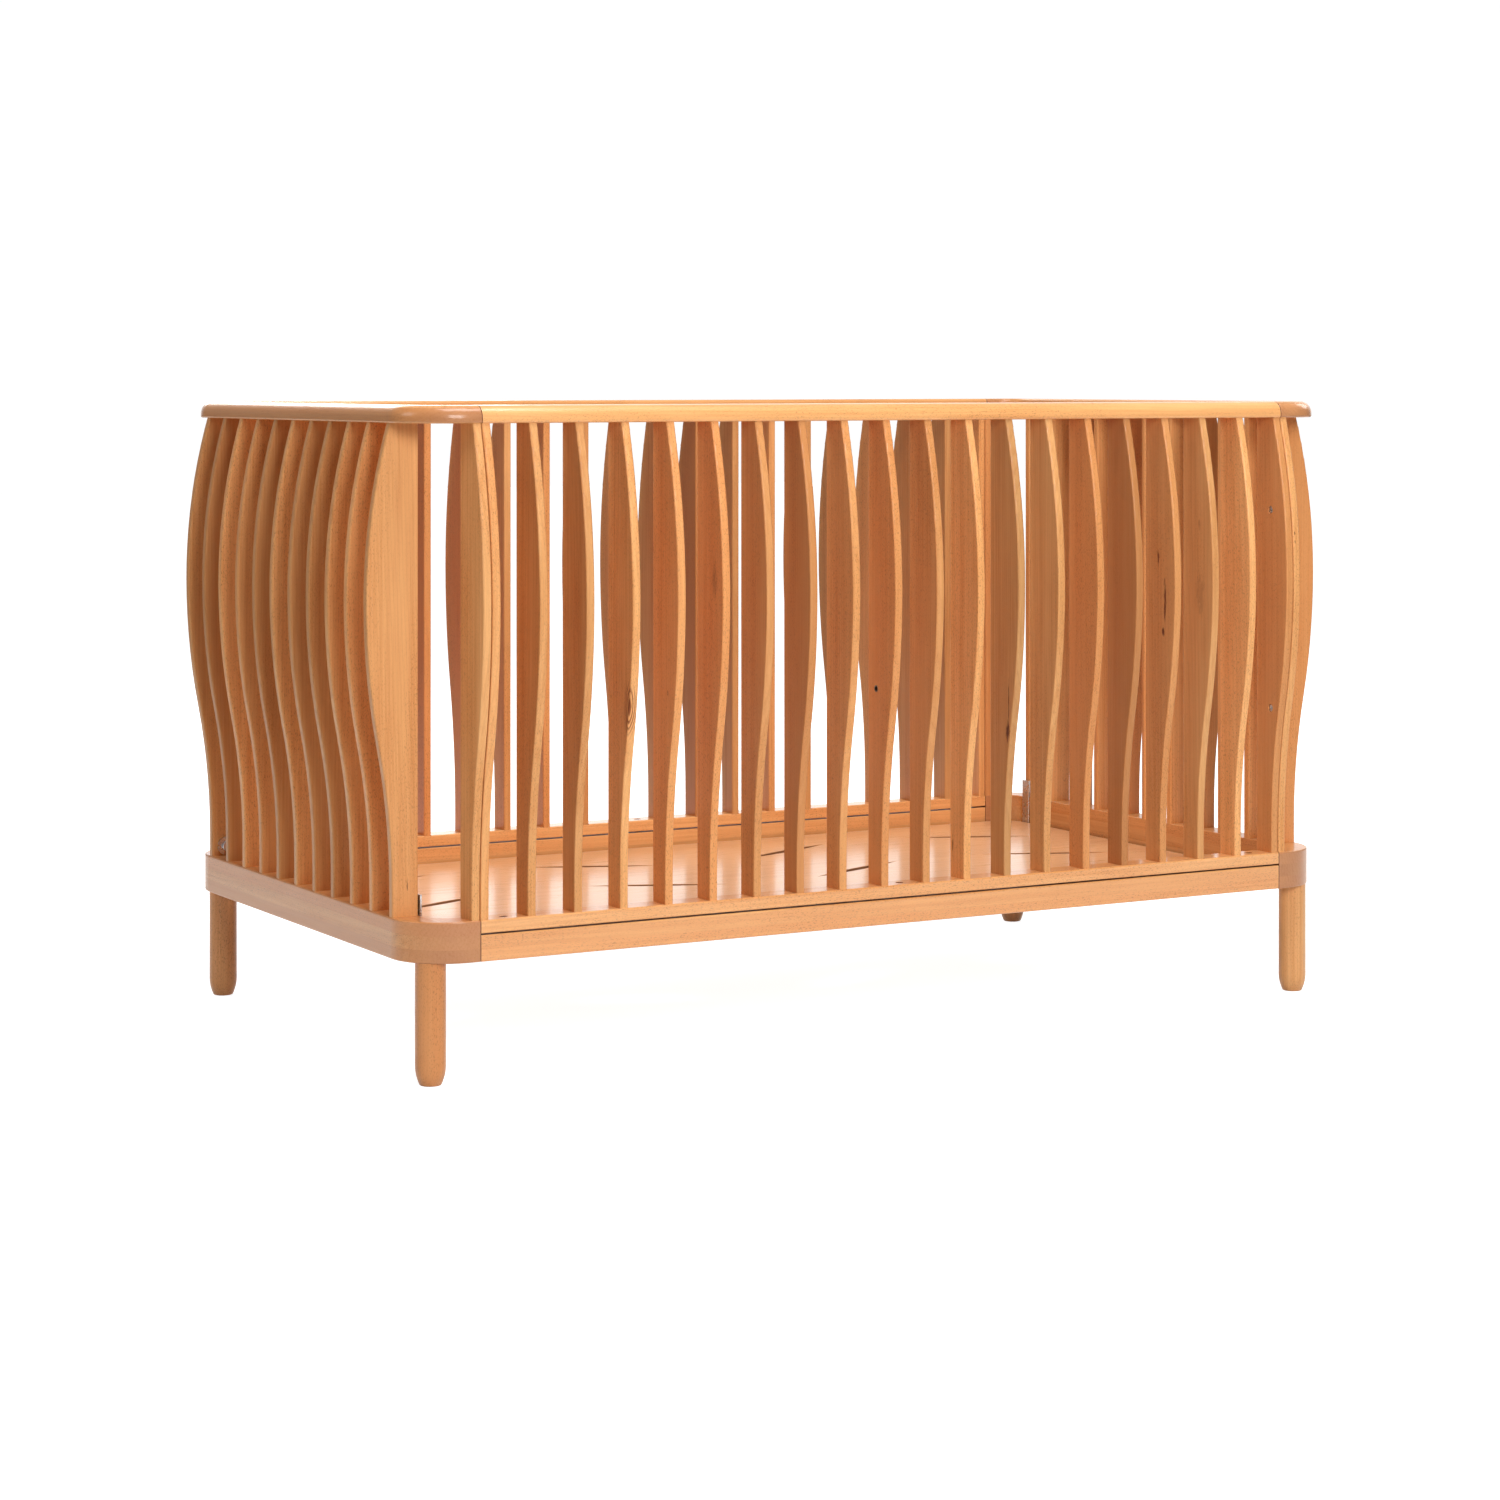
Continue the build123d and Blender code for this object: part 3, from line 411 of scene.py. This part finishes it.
# Each is a place, a half width, a half length and a strength.
MARKS = [
    (on_left_face("front_slat_04", 0.057, 0.452), 0.0030, 0.012, 0.40),
    (on_left_face("front_slat_04", 0.052, 0.432), 0.0022, 0.014, 0.35),
    (on_left_face("front_slat_06", 0.046, 0.600), 0.0070, 0.026, 0.35),
    (on_left_face("front_slat_12", 0.007, 0.240), 0.0018, 0.014, 0.80),
    (on_left_face("front_slat_12", 0.046, 0.583), 0.0010, 0.002, 0.80),
    (on_left_face("front_slat_13", 0.042, 0.387), 0.0042, 0.014, 0.95),
    (on_left_face("front_slat_13", 0.044, 0.425), 0.0012, 0.034, 0.75),
    (on_left_face("front_slat_17", 0.030, 0.611), 0.0034, 0.013, 0.95),
    (on_left_face("front_slat_17", 0.045, 0.553), 0.0028, 0.030, 0.85),
    (on_left_face("front_slat_17", 0.041, 0.512), 0.0030, 0.007, 0.95),
    (on_left_face("front_slat_18", 0.040, 0.560), 0.0110, 0.032, 0.22),
    (on_left_face("front_slat_18", 0.037, 0.653), 0.0030, 0.009, 0.30),
    ((LEFT_END_FRONT.x + 0.0535, LEFT_END_FRONT.y, 0.236), 0.0008, 0.008, 0.85),
    ((RIGHT_CORNER_FRONT.x + 0.003, RIGHT_CORNER_FRONT.y + 0.002, 0.640), 0.0012, 0.003, 0.80),
    ((RIGHT_CORNER_FRONT.x + 0.003, RIGHT_CORNER_FRONT.y + 0.002, 0.628), 0.0012, 0.004, 0.80),
]

FLECKED = [(on_left_face("front_slat_19", 0.030, 0.500), 0.048, 0.40)]

MATERIALS = {
    "slat_wood": make_beech("beech_slats", "z", slat_number, spread=0.21, coat=0.08,
                            knots=KNOTS, marks=MARKS, flecked=FLECKED),
    "rail_wood": make_beech("beech_rails", "x", rail_number, tone=1.08, spread=0.09, rings=0.10,
                            coat=0.8, shade=rail_shade),
    "end_wood": make_beech("beech_end_pieces", "y", end_piece_number, tone=0.97, spread=0.08,
                           coat=0.45, shade=butt_shade),
    "leg_wood": make_beech("beech_legs", "z", leg_number, spread=0.04),
    "board_wood": make_beech("beech_board", "x", one_number, tone=1.02, gloss=0.30, coat=0.6,
                             pale=0.50, shade=slot_shade),
    "plain_wood": make_beech("beech_plain", "x", one_number, tone=0.95, coat=0.0, gloss=0.55),
    "hanger_steel": make_steel("zinc_plated_steel", (0.80, 0.80, 0.81, 1.0), 0.30, "z"),
    "bolt_steel": make_steel("bright_bolt_steel", (0.82, 0.82, 0.83, 1.0), 0.40, "z"),
    # Yellow zinc plating, its colour darkened as painted shade for the inserts sitting deep in their
    # holes.
    "insert_steel": make_steel("yellow_zinc_steel_painted_shade", (0.34, 0.28, 0.20, 1.0), 0.32, "z"),
}


def dress(node, material):
    """Gives a CAD node its material."""
    mesh = NODES[node].data
    mesh.materials.clear()
    mesh.materials.append(material)


for node_name, slot in SLOT_OF.items():
    dress(node_name, MATERIALS[slot])


# ---- Studio ----

FLOOR_HALF = 20.0
FLOOR_LEVEL = -0.0002       # a hair under the feet, so that no face lies in the floor's plane
FLOOR_GREY = 0.60
SHADOW_LIFT = 0.88          # the floor's own glow beside the crib, which keeps its shadow faint
BACKDROP_SIDE = Vector((0.49, 0.87))      # where the lit backdrop stands, from the crib
BACKDROP_STRENGTH = 1.1
STUDIO_FRONT = 0.05         # strength of the world before the crib
STUDIO_BACK = 0.25          # and behind it
SEEN_WHITE = 1.02           # strength of the world where the camera sees it


def make_floor():
    """A pale floor that glows to white away from the crib, as an evenly lit studio floor does."""
    mesh = bpy.data.meshes.new("floor")
    a, b = -FLOOR_HALF, FLOOR_HALF
    corners = [(a, a), (b, a), (b, b), (a, b)]
    mesh.from_pydata([(x, y, FLOOR_LEVEL) for x, y in corners], [], [(0, 1, 2, 3)])
    floor = bpy.data.objects.new("floor", mesh)
    bpy.context.scene.collection.objects.link(floor)
    material, g = new_material("white_floor")
    point = g.add("TexCoord").outputs["Object"]
    grey = g.remap(g.noise(point, scale=6.0, detail=3.0), 0.3, 0.7, FLOOR_GREY - 0.02, FLOOR_GREY + 0.02)
    away = g.length(point)
    glow = g.remap(away, 1.0, 2.6, SHADOW_LIFT, 1.0)
    rays = g.add("LightPath").outputs
    mirrored = g.maths("MULTIPLY", rays["Is Glossy Ray"], g.remap(away, 2.2, 3.6, 0.9, 0.0))
    glow = g.sum(g.maths("MULTIPLY", rays["Is Camera Ray"], glow), mirrored)
    shader = g.add("BsdfPrincipled", {
        "Base Color": g.join(grey, grey, grey), "Roughness": 0.9, "Specular IOR Level": 0.1,
        "Emission Color": (1.0, 1.0, 1.0, 1.0), "Emission Strength": glow,
    })
    g.add("OutputMaterial", {"Surface": shader.outputs[0]})
    mesh.materials.append(material)


def make_world():
    """A white studio, lit most on the backdrop behind the crib's right half."""
    world = bpy.data.worlds.new("studio")
    bpy.context.scene.world = world
    world.use_nodes = True
    g = Graph(world.node_tree)
    x, y, z = g.split(g.add("TexCoord").outputs["Generated"])
    around = g.remap(y, -0.2, 0.6, STUDIO_FRONT, STUDIO_BACK)
    toward_x = g.maths("MULTIPLY", x, BACKDROP_SIDE.x)
    toward_backdrop = g.sum(toward_x, g.maths("MULTIPLY", y, BACKDROP_SIDE.y))
    level_part = g.remap(g.maths("ABSOLUTE", z), 0.45, 0.80, 1.0, 0.0)
    backdrop = g.maths("MULTIPLY", g.remap(toward_backdrop, 0.72, 0.92, 0.0, BACKDROP_STRENGTH),
                       level_part)
    light = g.sum(around, backdrop)
    seen = g.add("LightPath").outputs["Is Camera Ray"]
    unseen = g.maths("MULTIPLY", g.maths("SUBTRACT", 1.0, seen), light)
    strength = g.sum(g.maths("MULTIPLY", seen, SEEN_WHITE), unseen)
    background = g.add("Background", {"Color": (1.0, 1.0, 1.0, 1.0), "Strength": strength})
    g.add("OutputWorld", {"Surface": background.outputs[0]})


CRIB_MIDDLE = Vector((0.0, 0.0, 0.45))
# Each is a name, a place, a width, a height and a power in watts.
SOFTBOXES = [
    ("key", (-0.6, -4.6, 2.2), 2.2, 1.6, 145.0),
    ("top", (0.0, -1.0, 4.2), 2.2, 1.6, 118.0),
    ("left", (-4.2, 0.6, 2.8), 1.6, 1.6, 34.0),
    ("right", (4.2, 0.6, 2.8), 1.6, 1.6, 40.0),
    ("back", (0.8, 4.6, 2.6), 2.2, 1.6, 60.0),
]


def make_softbox(name, place, width, height, power):
    """A rectangular lamp that points at the crib's middle."""
    data = bpy.data.lights.new(name, "AREA")
    data.shape = "RECTANGLE"
    data.size = width
    data.size_y = height
    data.energy = power
    lamp = bpy.data.objects.new(name, data)
    lamp.location = place
    lamp.rotation_euler = (CRIB_MIDDLE - Vector(place)).to_track_quat("-Z", "Y").to_euler()
    bpy.context.scene.collection.objects.link(lamp)


CAMERA_PLACE = (-2.3515, -4.1446, 0.8535)
CAMERA_HEADING = -29.41     # degrees about the upright, from looking along +Y
SENSOR_WIDTH = 36.0         # millimetres, as is the lens
LENS = 82.36
LENS_SHIFT = -0.2485        # brings the level view down onto the crib


def make_camera():
    data = bpy.data.cameras.new("camera")
    data.sensor_width = SENSOR_WIDTH
    data.lens = LENS
    data.shift_y = LENS_SHIFT
    data.clip_end = 100.0
    camera = bpy.data.objects.new("camera", data)
    camera.location = CAMERA_PLACE
    camera.rotation_euler = (math.radians(90.0), 0.0, math.radians(CAMERA_HEADING))
    bpy.context.scene.collection.objects.link(camera)
    bpy.context.scene.camera = camera


make_camera()
make_floor()
make_world()
for name, place, width, height, power in SOFTBOXES:
    make_softbox(name, place, width, height, power)
bpy.context.scene.view_settings.view_transform = "Standard"
